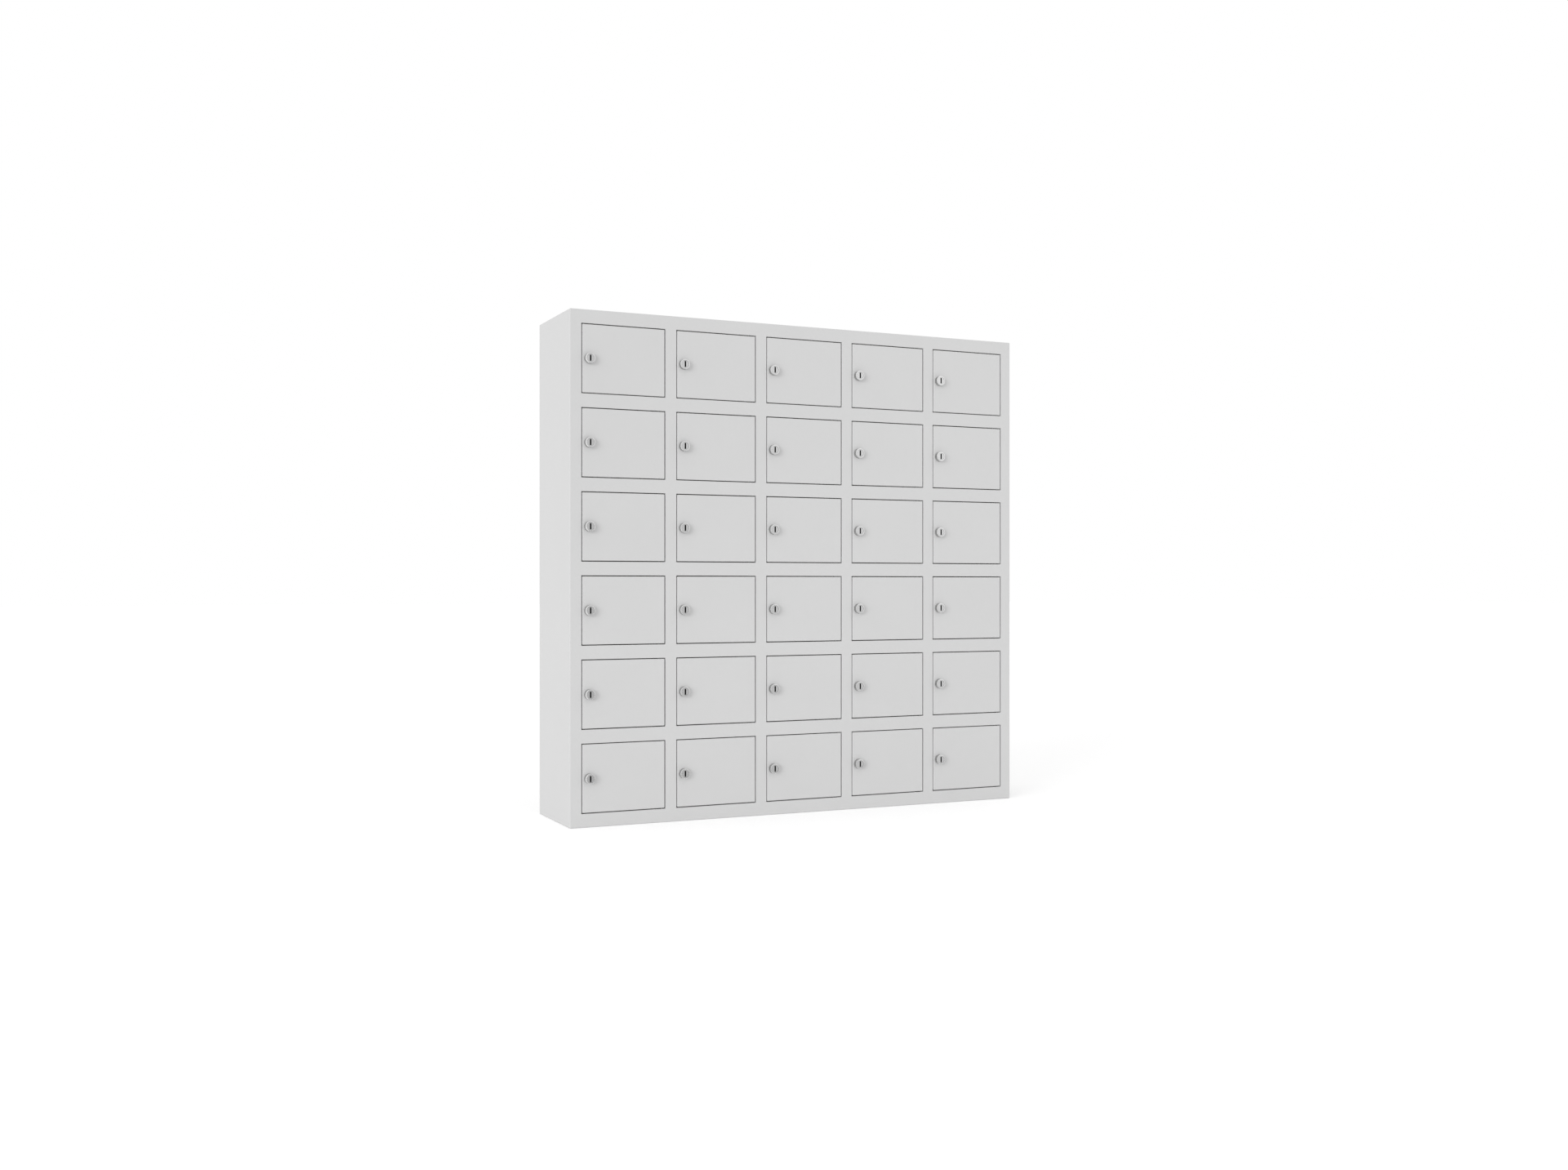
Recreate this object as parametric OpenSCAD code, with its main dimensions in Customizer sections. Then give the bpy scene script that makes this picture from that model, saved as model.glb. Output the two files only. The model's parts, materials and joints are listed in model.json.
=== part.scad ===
// Cell phone locker box: a welded sheet-steel cabinet with rows and columns of small
// compartments. Each has a flush folded door on concealed hinge pins at its right edge
// and a keyed cam lock at its left edge. The cam turns behind the frame's fold.
//
// Millimetres, +Z up, doors facing -Y. The origin is in the middle of the underside,
// with the lock heads counted in the depth.

/* [Layout] */
// Columns of compartments, counted from the left
columns = 5; // [1:1:5]
// Rows of compartments, counted from the top
rows = 6; // [1:1:6]

/* [Case] */
// Depth of the case, front face to back
case_d = 189; // [130:1:300]
// Thickness of all steel sheet
sheet = 1; // [0.8:0.1:1.4]
// Width of the frame's side members
side_w = 20.9; // [18:0.1:40]
// Width of the posts between columns
post_w = 20.8; // [18:0.1:40]
// Height of the top and bottom members and of the rails between rows
rail_h = 24; // [18:0.5:40]
// Depth of the frame's folded members
frame_d = 16; // [14:1:20]
// Outside radius of the case's bends
case_bend_r = 1.6; // [1.5:0.1:2.5]
// Distance of the wall holes in from the sides of the case
wall_hole_in = 100; // [40:1:160]
// Distance of the wall holes above the sills of the top and bottom rows
wall_hole_up = 60; // [20:1:90]
// Radius of the wall holes
wall_hole_r = 4.25; // [3:0.25:6]

/* [Shelves] */
// Distance from the front face to a shelf's front edge, under the sill
shelf_front_y = 10; // [9.5:0.5:12]

/* [Doors] */
// Width of a door's face
door_w = 152; // [130:1:220]
// Height of a door's face
door_h = 119; // [90:1:200]
// Depth of a door's folded edges
door_d = 16; // [14:1:20]
// Gap round a door
door_gap = 1.5; // [1.3:0.1:2.5]
// Outside radius of a door's front bends
door_bend_r = 1.5; // [1.5:0.1:2.5]

/* [Hinges] */
// Distance of the hinge axis from the door's right edge
hinge_inset = 10; // [9:0.5:20]
// Distance of the hinge axis behind the door's face
hinge_back = 4.5; // [4.2:0.1:5]
// Radius of a hinge pin
pin_r = 1.75; // [1.5:0.05:2]
// Radius of a hinge pin's head
pin_head_r = 3; // [2.6:0.1:3.2]
// Height of a hinge pin's head
pin_head_h = 1.2; // [0.8:0.1:2]
// Wall of a hinge bush
bush_wall = 1.1; // [0.8:0.1:1.2]
// Width of the rim that a hinge bush shows in the gap
bush_rim = 0.8; // [0.5:0.1:1]
// Length of a hinge bush past the far side of the sheet
bush_tail = 0.8; // [0.5:0.1:2]
// Length of a hinge pin past its bush
pin_tail = 0.7; // [0.4:0.1:2]

/* [Locks] */
// Distance of a lock's axis from the door's left edge
lock_inset = 12.5; // [12.3:0.1:30]
// Radius of a lock's head
lock_head_r = 9.2; // [9:0.1:11]
// Distance that a lock's head stands in front of the door
lock_proud = 8.5; // [7:0.5:12]
// Width of the chamfer round a lock's head
lock_chamfer = 1; // [0.4:0.1:1.4]
// Radius of a lock's body behind the head
lock_body_r = 8; // [8:0.1:8.6]
// Distance across the flats of a lock's body
lock_flats = 14; // [13.8:0.1:15]
// Radius of the plug behind the head's face
plug_r = 6.75; // [6.5:0.05:6.9]
// Radius of the plug's rear stretch
plug_rear_r = 6.15; // [5.8:0.05:6.2]
// Distance that the plug's step stands in front of the door's face
plug_step = 1; // [0.5:0.5:5]
// Recess of the plug in the head
plug_recess = 0.5; // [0.2:0.1:1.5]
// Height of the key slot
keyway_h = 10; // [7:0.5:11]
// Width of the key slot
keyway_w = 2.2; // [1.2:0.1:3]
// Depth of the key slot
keyway_d = 14; // [6:1:16]
// Distance across the lock nut's flats
nut_flats = 20; // [19:0.5:20.5]
// Thickness of the lock nut
nut_h = 3; // [2:0.5:6]

/* [Cams] */
// Length of cam that catches behind the frame's fold
cam_catch = 6; // [3:0.5:7]
// Width of the cam's arm
cam_w = 12; // [10:0.5:13]
// Radius of the cam's hub
cam_hub_r = 7.5; // [7:0.25:9]
// Cut across the corners of the cam's tip
cam_tip_cut = 3; // [1:0.5:4]
// Thickness of the cam
cam_t = 2; // [1.5:0.1:3]
// Gap between the cam and the frame's fold
cam_gap = 0.8; // [0.4:0.1:2]
// Width of the square tang that drives the cam
tang_w = 7; // [6:0.1:7.4]
// Radius of the cam screw's flange
screw_flange_r = 5.8; // [5.5:0.1:6.5]
// Thickness of the cam screw's flange
screw_flange_h = 1.2; // [0.8:0.1:2]
// Radius of the cam screw's head
screw_head_r = 3.8; // [3:0.1:5]
// Height of the cam screw's head
screw_head_h = 1.8; // [1:0.1:3]
// Radius of the cam screw's shank
screw_r = 2; // [1.5:0.1:2.5]
// Length of the cam screw's shank
screw_l = 10; // [8:0.5:11]

/* [Fits] */
// Radial clearance of a turning fit
turn_fit = 0.05; // [0.02:0.01:0.08]
// Gap where one piece seats on or is welded to another
seat_fit = 0.05; // [0.02:0.01:0.1]
// Play between a door and the rims of its bushes
hinge_play = 0.3; // [0.1:0.05:0.5]
// Gap between a shelf and the walls beside it
shelf_fit = 0.1; // [0.05:0.05:0.5]

/* [Hidden] */
$fn = 48;
bend_steps = 4;

opening_w = door_w + 2 * door_gap;
opening_h = door_h + 2 * door_gap;
pitch_x = opening_w + post_w;
pitch_z = opening_h + rail_h;
grid_w = columns * pitch_x - post_w;
grid_h = rows * pitch_z - rail_h;
case_w = grid_w + 2 * side_w;
case_h = grid_h + 2 * rail_h;
front_y = (lock_proud - case_d) / 2;
panel_y = case_d - sheet;

bush_r = pin_r + turn_fit + bush_wall;
bush_rim_h = door_gap - hinge_play;
hinge_x = opening_w - door_gap - hinge_inset;
lock_x = door_gap + lock_inset;
lock_z = opening_h / 2;
cam_y = max(frame_d, door_d) + cam_gap;
cam_l = lock_x + cam_catch;
housing_end_y = cam_y - 0.5;

// The locks of the first columns turn; the last column's stay as one group with their doors.
turning_columns = min(columns, 4);
doors = [for (r = [1:rows], c = [1:columns]) [r, c]];
turning_locks = [for (place = doors) if (place[1] <= turning_columns) place];
function door_name(place) = str("door_r", place[0], "c", place[1]);
function lock_name(place) = str("lock_core_r", place[0], "c", place[1]);

// Left edge of a column's openings, and the underside of a row's.
function opening_x(c) = (c - 1) * pitch_x - grid_w / 2;
function opening_z(r) = rail_h + (rows - r) * pitch_z;
// Middle of the post to the left of a column, and the clear walls on a column's two sides.
function post_x(c) = opening_x(c) - post_w / 2;
function wall_left(c) = c == 1 ? sheet - case_w / 2 : post_x(c) + sheet / 2;
function wall_right(c) = c == columns ? case_w / 2 - sheet : post_x(c + 1) - sheet / 2;

module steel() color([0.83, 0.83, 0.83]) children();
module zinc() color([0.72, 0.73, 0.74]) children();
module nickel() color([0.78, 0.78, 0.77]) children();
module nylon() color([0.07, 0.07, 0.07]) children();

// Puts a piece with the case's front face at y = 0.
module in_case() translate([0, front_y, 0]) children();
// Puts a piece at the lower left front corner of one opening.
module in_opening(place)
    in_case() translate([opening_x(place[1]), 0, opening_z(place[0])]) children();
// Puts a piece on one opening's hinge axis, or on its lock axis with y from the door's face.
module on_hinge() translate([hinge_x, hinge_back, 0]) children();
module on_lock() translate([lock_x, 0, lock_z]) children();

// Round bar along Y from y0 to y1, tapering where its end radii differ.
module y_bar(y0, y1, r0, r1)
    translate([0, y0, 0]) rotate([-90, 0, 0]) cylinder(h = y1 - y0, r1 = r0, r2 = r1);
// Box with its lowest corner at the given point.
module block(low, size) translate(low) cube(size);
// Flat plate from y0 to y1 with an outline drawn in X and Z.
module y_plate(y0, y1)
    translate([0, y1, 0]) rotate([90, 0, 0]) linear_extrude(y1 - y0) children();

function arc(centre, r, from) = [
    for (i = [0:bend_steps])
        let (turn = from + 90 * i / bend_steps) centre + r * [cos(turn), sin(turn)]
];
// Outline of a channel seen along its fold: bends at the front corners, open at y = d.
function bent_outline(w, d, r) = concat(
    [[w / 2, d], [-w / 2, d]], arc([r - w / 2, r], r, 180), arc([w / 2 - r, r], r, 270));
// Rounded rectangle from z = 0 to h, centred on X.
module round_outline(w, h, r)
    polygon(concat(arc([w / 2 - r, h - r], r, 0), arc([r - w / 2, h - r], r, 90),
        arc([r - w / 2, r], r, 180), arc([w / 2 - r, r], r, 270)));
// Block from y = 0 to d whose four front edges are bent over.
module bent_block(w, h, d, r) intersection() {
    linear_extrude(h) polygon(bent_outline(w, d, r));
    translate([-w / 2, 0, h / 2]) rotate([90, 0, 90])
        linear_extrude(w) polygon([for (p = bent_outline(h, d, r)) [p[1], p[0]]]);
}

// Outlines that cut the case into mitred members, a weld gap apart: a side and the base.
module side_member_outline()
    polygon([[-case_w / 2, seat_fit], [-grid_w / 2, rail_h + seat_fit],
        [-grid_w / 2, case_h - rail_h - seat_fit], [-case_w / 2, case_h - seat_fit]]);
module base_member_outline()
    polygon([[-case_w / 2, 0], [case_w / 2, 0], [grid_w / 2, rail_h], [-grid_w / 2, rail_h]]);

// Outline inside the case's walls, and outline of the walls themselves.
module case_inside_outline() translate([0, sheet])
    round_outline(case_w - 2 * sheet, case_h - 2 * sheet, case_bend_r - sheet);
module case_wall_outline() difference() {
    round_outline(case_w, case_h, case_bend_r);
    case_inside_outline();
}

// Shell: two sides, a base and a top, mitred and welded at the corner bends.
module body_shell() steel() in_case() {
    for (side = [0, 1])
        mirror([side, 0, 0]) y_plate(frame_d, case_d) intersection() {
            case_wall_outline();
            side_member_outline();
        }
    for (end = [0, 1])
        translate([0, 0, end * case_h]) mirror([0, 0, end]) y_plate(frame_d, case_d) intersection() {
            case_wall_outline();
            base_member_outline();
        }
}

// Back panel: welded flush inside the shell's rear edge, with four holes for wall bolts.
module back_panel() steel() in_case() difference() {
    y_plate(panel_y, case_d) case_inside_outline();
    for (side = [-1, 1], z = [opening_z(rows) + wall_hole_up, opening_z(1) + wall_hole_up])
        translate([side * (case_w / 2 - wall_hole_in), 0, z])
            y_bar(panel_y - 1, case_d + 1, wall_hole_r, wall_hole_r);
}

// Hole in a frame fold for a hinge bush.
module bush_hole(z0) on_hinge() translate([0, 0, z0 - 1]) cylinder(h = sheet + 2, r = bush_r + seat_fit);

// Channel across one opening's width, open at the back: a face, and a fold above and below.
module rail(w) difference() {
    cube([w, frame_d, rail_h]);
    block([-1, sheet, sheet], [w + 2, frame_d, rail_h - 2 * sheet]);
}

// The front of the case as a closed block, with every outer edge bent over.
module case_front(inset) translate([0, inset, inset]) intersection() {
    bent_block(case_w - 2 * inset, case_h - 2 * inset, frame_d, case_bend_r - inset);
    y_plate(0, frame_d) round_outline(case_w - 2 * inset, case_h - 2 * inset, case_bend_r - inset);
}

// Border: the bent front of the case with folds round the grid of doors.
module border() {
    difference() {
        case_front(0);
        case_front(sheet);
        block([-grid_w / 2, -1, rail_h], [grid_w, sheet + 2, grid_h]);
    }
    difference() {
        block([-grid_w / 2 - sheet, 0, rail_h - sheet], [grid_w + 2 * sheet, frame_d, grid_h + 2 * sheet]);
        block([-grid_w / 2, -1, rail_h], [grid_w, frame_d + 2, grid_h]);
    }
}

// Front frame: four mitred border members, posts between them and rails between the posts.
module front_frame() steel() in_case() {
    for (side = [0, 1])
        mirror([side, 0, 0]) intersection() {
            border();
            y_plate(-1, frame_d) side_member_outline();
        }
    difference() {
        intersection() {
            border();
            union() {
                y_plate(-1, frame_d) base_member_outline();
                y_plate(-1, frame_d) translate([0, case_h]) mirror([0, 1]) base_member_outline();
            }
        }
        for (c = [1:columns]) {
            translate([opening_x(c), 0, 0]) bush_hole(rail_h - sheet);
            translate([opening_x(c), 0, 0]) bush_hole(case_h - rail_h);
        }
    }
    if (columns > 1) for (c = [2:columns])
        translate([post_x(c), 0, rail_h + seat_fit]) linear_extrude(grid_h - 2 * seat_fit) difference() {
            translate([-post_w / 2, 0]) square([post_w, frame_d]);
            translate([sheet - post_w / 2, sheet]) square([post_w - 2 * sheet, frame_d]);
        }
    if (rows > 1) for (c = [1:columns], r = [2:rows])
        translate([opening_x(c), 0, opening_z(r) + opening_h]) difference() {
            translate([seat_fit, 0, 0]) rail(opening_w - 2 * seat_fit);
            bush_hole(0);
            bush_hole(rail_h - sheet);
        }
}

// Partition: stands in its post and reaches the back panel, notched round the border's folds.
module partition() {
    y0 = sheet + seat_fit;
    z0 = rail_h + shelf_fit;
    edge = sheet + shelf_fit;
    rotate([90, 0, 90]) linear_extrude(sheet, center = true)
        polygon([[frame_d, edge], [panel_y - seat_fit, edge], [panel_y - seat_fit, case_h - edge],
            [frame_d, case_h - edge], [frame_d, case_h - z0], [y0, case_h - z0], [y0, z0], [frame_d, z0]]);
}

module partitions() steel() in_case()
    if (columns > 1) for (c = [2:columns]) translate([post_x(c), 0, 0]) partition();

// Shelf: reaches both walls and the back panel, and narrows to lie under the sill of its opening.
module shelf(c, z) {
    left = wall_left(c) + shelf_fit;
    right = wall_right(c) - shelf_fit;
    sill_left = opening_x(c) + shelf_fit;
    sill_right = opening_x(c) + opening_w - shelf_fit;
    y0 = frame_d + shelf_fit;
    y1 = panel_y - shelf_fit;
    translate([0, 0, z - sheet]) linear_extrude(sheet)
        polygon([[left, y0], [sill_left, y0], [sill_left, shelf_front_y], [sill_right, shelf_front_y],
            [sill_right, y0], [right, y0], [right, y1], [left, y1]]);
}

module shelves() steel() in_case()
    for (c = [1:columns], r = [1:rows]) shelf(c, opening_z(r) - sheet - seat_fit);

// Bush: a sleeve pressed through a fold, with a rim that keeps the door off the frame.
module hinge_bush() difference() {
    union() {
        cylinder(h = bush_rim_h, r = bush_r + bush_rim);
        translate([0, 0, -sheet - bush_tail]) cylinder(h = sheet + bush_tail + bush_rim_h, r = bush_r);
    }
    translate([0, 0, -sheet - bush_tail - 1])
        cylinder(h = sheet + bush_tail + bush_rim_h + 2, r = pin_r + turn_fit);
}

module hinge_bushes() nylon() for (place = doors) in_opening(place) on_hinge() {
    translate([0, 0, seat_fit]) hinge_bush();
    translate([0, 0, opening_h - seat_fit]) mirror([0, 0, 1]) hinge_bush();
}

// Pin: headed inside the door's fold, and reaching down through the bush below.
module hinge_pin() {
    head_z = door_gap + sheet + seat_fit;
    end_z = seat_fit - sheet - bush_tail - pin_tail;
    translate([0, 0, end_z]) cylinder(h = head_z - end_z, r = pin_r);
    translate([0, 0, head_z]) cylinder(h = pin_head_h, r = pin_head_r);
}

// Outline of the lock's body: a circle with a flat on each side.
module lock_body_outline(extra) intersection() {
    circle(r = lock_body_r + extra);
    square([lock_flats + 2 * extra, 3 * lock_body_r], center = true);
}

// Door pan: one sheet with four folded edges, pierced for the lock and the two hinge pins.
module door_pan() difference() {
    translate([opening_w / 2, 0, door_gap]) bent_block(door_w, door_h, door_d, door_bend_r);
    translate([opening_w / 2, sheet, door_gap + sheet])
        bent_block(door_w - 2 * sheet, door_h - 2 * sheet, door_d, door_bend_r - sheet);
    on_lock() y_plate(-1, sheet + 1) lock_body_outline(seat_fit);
    on_hinge() cylinder(h = opening_h, r = pin_r + seat_fit);
}

// Lock housing: a round head with a chamfered rim, and a body with two flats, bored for the plug.
module lock_housing() difference() {
    union() {
        y_bar(-lock_proud, lock_chamfer - lock_proud, lock_head_r - lock_chamfer, lock_head_r);
        y_bar(lock_chamfer - lock_proud, -seat_fit, lock_head_r, lock_head_r);
        y_plate(-1, housing_end_y) lock_body_outline(0);
    }
    y_bar(-lock_proud - 1, -plug_step, plug_r + turn_fit, plug_r + turn_fit);
    y_bar(-plug_step - 1, housing_end_y + 1, plug_rear_r + turn_fit, plug_rear_r + turn_fit);
}

// Lock nut: a thin hexagon with its corners up and down, clear of the door's folded edge.
module lock_nut() difference() {
    y_plate(sheet + seat_fit, sheet + seat_fit + nut_h)
        rotate(30) circle(r = nut_flats / sqrt(3), $fn = 6);
    y_bar(0, sheet + nut_h + 1, lock_body_r + seat_fit, lock_body_r + seat_fit);
}

// Plug: turns in the housing, stepped at its middle, slotted for the key and squared for the cam.
module lock_plug() difference() {
    union() {
        y_bar(plug_recess - lock_proud, -plug_step - seat_fit, plug_r, plug_r);
        y_bar(-plug_step - 1, cam_y - seat_fit, plug_rear_r, plug_rear_r);
        block([-tang_w / 2, cam_y - 1, -tang_w / 2], [tang_w, cam_t + 1 - seat_fit, tang_w]);
    }
    block([-keyway_w / 2, -lock_proud, -keyway_h / 2], [keyway_w, plug_recess + keyway_d, keyway_h]);
    y_bar(cam_y + cam_t - screw_l - seat_fit, cam_y + cam_t + 1, screw_r + seat_fit, screw_r + seat_fit);
}

// Cam: hangs down when unlocked and swings left behind the frame's fold.
module lock_cam() y_plate(cam_y, cam_y + cam_t) difference() {
    union() {
        circle(r = cam_hub_r);
        polygon([[-cam_w / 2, 0], [-cam_w / 2, cam_tip_cut - cam_l], [cam_tip_cut - cam_w / 2, -cam_l],
            [cam_w / 2 - cam_tip_cut, -cam_l], [cam_w / 2, cam_tip_cut - cam_l], [cam_w / 2, 0]]);
    }
    square(tang_w + 2 * seat_fit, center = true);
}

// Cam screw: its flange holds the cam on the tang.
module cam_screw() {
    flange_y = cam_y + cam_t + seat_fit;
    y_bar(flange_y - screw_l, flange_y, screw_r, screw_r);
    y_bar(flange_y, flange_y + screw_flange_h, screw_flange_r, screw_flange_r);
    y_bar(flange_y + screw_flange_h, flange_y + screw_flange_h + screw_head_h, screw_head_r, screw_head_r);
}

module lock_core(place) in_opening(place) on_lock() {
    nickel() lock_plug();
    zinc() lock_cam();
    zinc() cam_screw();
}

module door(place) {
    in_opening(place) {
        steel() door_pan();
        on_lock() {
            nickel() lock_housing();
            zinc() lock_nut();
        }
        zinc() on_hinge() {
            hinge_pin();
            translate([0, 0, opening_h]) mirror([0, 0, 1]) hinge_pin();
        }
    }
    if (place[1] > turning_columns) lock_core(place);
}

body_shell();
back_panel();
front_frame();
partitions();
shelves();
hinge_bushes();
for (place = doors) door(place);
for (place = turning_locks) lock_core(place);
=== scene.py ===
"""Looks of the cell phone locker box: a powder-coated case with thirty folded doors and cam locks.

Metres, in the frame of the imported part: +Z up, doors facing -Y.
"""
import json
import math
from contextlib import contextmanager

import bmesh
import bpy
from mathutils import Matrix, Vector


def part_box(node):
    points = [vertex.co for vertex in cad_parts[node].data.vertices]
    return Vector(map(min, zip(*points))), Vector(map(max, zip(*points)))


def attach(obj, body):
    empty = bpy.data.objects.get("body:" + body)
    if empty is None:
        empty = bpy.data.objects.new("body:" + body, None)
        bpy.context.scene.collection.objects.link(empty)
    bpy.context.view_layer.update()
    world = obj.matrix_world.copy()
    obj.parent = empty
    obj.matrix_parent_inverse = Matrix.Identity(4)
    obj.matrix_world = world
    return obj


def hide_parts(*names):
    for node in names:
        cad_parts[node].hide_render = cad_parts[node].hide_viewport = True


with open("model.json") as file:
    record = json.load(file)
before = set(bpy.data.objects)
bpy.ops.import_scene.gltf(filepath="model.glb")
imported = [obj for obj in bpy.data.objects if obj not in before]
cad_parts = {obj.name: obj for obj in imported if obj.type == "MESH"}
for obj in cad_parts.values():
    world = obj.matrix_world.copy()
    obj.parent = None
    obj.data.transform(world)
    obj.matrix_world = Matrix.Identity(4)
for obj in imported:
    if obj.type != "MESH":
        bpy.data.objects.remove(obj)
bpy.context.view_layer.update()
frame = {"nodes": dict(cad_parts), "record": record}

MM = 0.001

# Layout, as the part's nodes are named.
ROWS = 6
COLUMNS = 5
TURNING_COLUMNS = 4
PLACES = [(row, column) for row in range(1, ROWS + 1) for column in range(1, COLUMNS + 1)]

# Sheet metal.
SHEET = 1 * MM
FRAME_DEPTH = 16 * MM
CASE_BEND = 1.6 * MM
OPENING_BEND = 0.5 * MM
BACK_EDGE = 0.4 * MM
DOOR_DEPTH = 16 * MM
DOOR_HEIGHT = 119 * MM
DOOR_GAP = 1.5 * MM
DOOR_BEND = 1.5 * MM

# Spot welds: the radii between which a dimple fades out.
WELD_INSIDE = 1.8 * MM
WELD_OUTSIDE = 3 * MM

# Hinge pins.
HINGE_INSET = 10 * MM
HINGE_BACK = 4.5 * MM
PIN_RADIUS = 1.75 * MM
PIN_HEAD_RADIUS = 3 * MM
PIN_HEAD_HEIGHT = 1.2 * MM
PIN_REACH = 2.5 * MM
PIN_EDGE = 0.4 * MM

# Locks, measured from the door's face.
LOCK_INSET = 12.5 * MM
LOCK_PROUD = 8.5 * MM
HEAD_RADIUS = 9.2 * MM
HEAD_LIP = 0.2 * MM
RIM_WIDTH = 2.1 * MM
RIM_DROP = 1.5 * MM
RIM_STEPS = 6
BODY_RADIUS = 8 * MM
BODY_FLATS = 14 * MM
BODY_END = 16.3 * MM
PLUG_RADIUS = 6.75 * MM
PLUG_REAR_RADIUS = 6.15 * MM
PLUG_STEP = 1 * MM
PLUG_RECESS = 0.5 * MM
PLUG_EDGE = 0.25 * MM
TURN_FIT = 0.05 * MM
SEAT_FIT = 0.05 * MM
KEYWAY_HEIGHT = 10 * MM
KEYWAY_WIDTH = 2.2 * MM
KEYWAY_DEPTH = 14 * MM
KEYWAY_BEND = 0.7 * MM
KEYWAY_MOUTH = 0.35 * MM
NUT_FLATS = 20 * MM
NUT_HEIGHT = 3 * MM
NUT_EDGE = 0.25 * MM
CAM_START = 16.8 * MM
CAM_THICKNESS = 2 * MM
CAM_LENGTH = 20 * MM
CAM_WIDTH = 12 * MM
CAM_HUB_RADIUS = 7.5 * MM
CAM_TIP_CUT = 3 * MM
CAM_EDGE = 0.2 * MM
TANG_WIDTH = 7 * MM
TANG_EDGE = 0.3 * MM
SCREW_FLANGE_RADIUS = 5.8 * MM
SCREW_FLANGE_HEIGHT = 1.2 * MM
SCREW_HEAD_RADIUS = 3.8 * MM
SCREW_HEAD_HEIGHT = 1.8 * MM
SCREW_EDGE = 0.3 * MM
CROSS_HALF_WIDTH = 0.9 * MM
CROSS_REACH = 2.2 * MM
CROSS_DEPTH = 1.2 * MM
TURNING_RINGS_MM = 0.28

# How many facets turned pieces have, how near points are merged, and how far apart points touch.
PIN_STEPS = 24
SCREW_STEPS = 30
LOCK_STEPS = 64
MERGE_WITHIN = 0.001 * MM
CAM_MERGE_WITHIN = 0.005 * MM
TOUCH = 0.01 * MM

# Angles under which an edge counts as flat, is shaded smooth, or is left unbevelled.
FLAT_DEGREES = 0.5
SMOOTH_DEGREES = 35
FACET_DEGREES = 50

# The most that the normal of a face that looks sideways can have towards the front.
SIDEWAYS = 0.3

# Camera: a 35 mm lens on a 36 mm sensor, level, turned to the right.
CAMERA_PLACE = (-1.2248, -2.63355, 0.4213)
CAMERA_YAW = math.radians(-24.94)
LENS_MM = 35
SENSOR_MM = 36

# Studio: the floor, and the card that the doors mirror, with how its shade runs.
FLOOR_SIZE = 60
CARD_AHEAD = 0.3
CARD_MIDDLE_X = 0.62
CARD_MIDDLE_Z = 0.702
CARD_WIDTH = 2.16
CARD_HEIGHT = 1.4
CARD_FOLD_BELOW = 0.25
CARD_FOLD_ABOVE = 0.7
CARD_SLOPE_ACROSS = 1.18
CARD_SLOPE_FOLD = 3
CARD_DARKEST = -0.33
CARD_LIGHTEST = 1.41
CARD_CURVE = 1.2


# ---------------------------------------------------------------- places in the frame

CASE_LOW, CASE_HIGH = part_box("front_frame")
FRONT_Y = CASE_LOW.y
BACK_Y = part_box("body_shell")[1].y
DOOR_BOXES = {place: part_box("door_r%dc%d" % place) for place in PLACES}
MIDDLES = {place: Vector(((low.x + high.x) / 2, FRONT_Y, (low.z + high.z) / 2))
           for place, (low, high) in DOOR_BOXES.items()}
FIRST = MIDDLES[1, 1]
DOOR_WIDTH = DOOR_BOXES[1, 1][1].x - DOOR_BOXES[1, 1][0].x
OPENING_HALF_WIDTH = DOOR_WIDTH / 2 + DOOR_GAP
OPENING_HALF_HEIGHT = DOOR_HEIGHT / 2 + DOOR_GAP
LOCK_AXIS = FIRST + Vector((LOCK_INSET - DOOR_WIDTH / 2, 0, 0))
HINGE_AXIS = FIRST + Vector((DOOR_WIDTH / 2 - HINGE_INSET, HINGE_BACK, 0))
BACKWARDS = (0, 1, 0)
TIPPED_FORWARD = (math.pi / 2, 0, 0)


# ---------------------------------------------------------------- bench tools

def choose(piece):
    """Makes a piece the only selected one, and the active one."""
    bpy.ops.object.select_all(action="DESELECT")
    piece.select_set(True)
    bpy.context.view_layer.objects.active = piece


@contextmanager
def editing(piece):
    choose(piece)
    bpy.ops.object.mode_set(mode="EDIT")
    bpy.ops.mesh.select_mode(type="VERT")
    bpy.ops.mesh.select_all(action="DESELECT")
    yield
    bpy.ops.object.mode_set(mode="OBJECT")


def pick(kind, test):
    """In edit mode, selects only the edges or faces that pass a test of (middle, item)."""
    bpy.ops.mesh.select_mode(type=kind)
    bpy.ops.mesh.select_all(action="DESELECT")
    data = bpy.context.edit_object.data
    mesh = bmesh.from_edit_mesh(data)
    for item in {"EDGE": mesh.edges, "FACE": mesh.faces}[kind]:
        if test(sum((corner.co for corner in item.verts), Vector()) / len(item.verts), item):
            item.select_set(True)
    mesh.select_flush_mode()
    bmesh.update_edit_mesh(data)


def on_all(operator, **settings):
    """In edit mode, runs an operator on the whole mesh."""
    bpy.ops.mesh.select_all(action="SELECT")
    operator(**settings)


def extrude(step):
    """In edit mode, extrudes what is selected."""
    bpy.ops.mesh.extrude_region_move(TRANSFORM_OT_translate={"value": step})


def bend(test, radius, segments=4):
    """In edit mode, rounds the edges that pass a test."""
    pick("EDGE", test)
    bpy.ops.mesh.bevel(offset=radius, segments=segments, affect="EDGES")


def near(a, b, within=TOUCH):
    return abs(a - b) < within


def runs_along(edge, axis):
    """True if an edge runs along axis 0, 1 or 2."""
    step = edge.verts[1].co - edge.verts[0].co
    return near(abs(step[axis]), step.length)


def started(name, add, scale=(1, 1, 1), **settings):
    """A new primitive whose place and size are in its mesh."""
    bpy.ops.object.select_all(action="DESELECT")
    add(**settings)
    piece = bpy.context.object
    piece.scale = scale
    piece.name = name
    piece.data.name = name
    bpy.ops.object.transform_apply(location=True, rotation=True, scale=True)
    return piece


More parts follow.
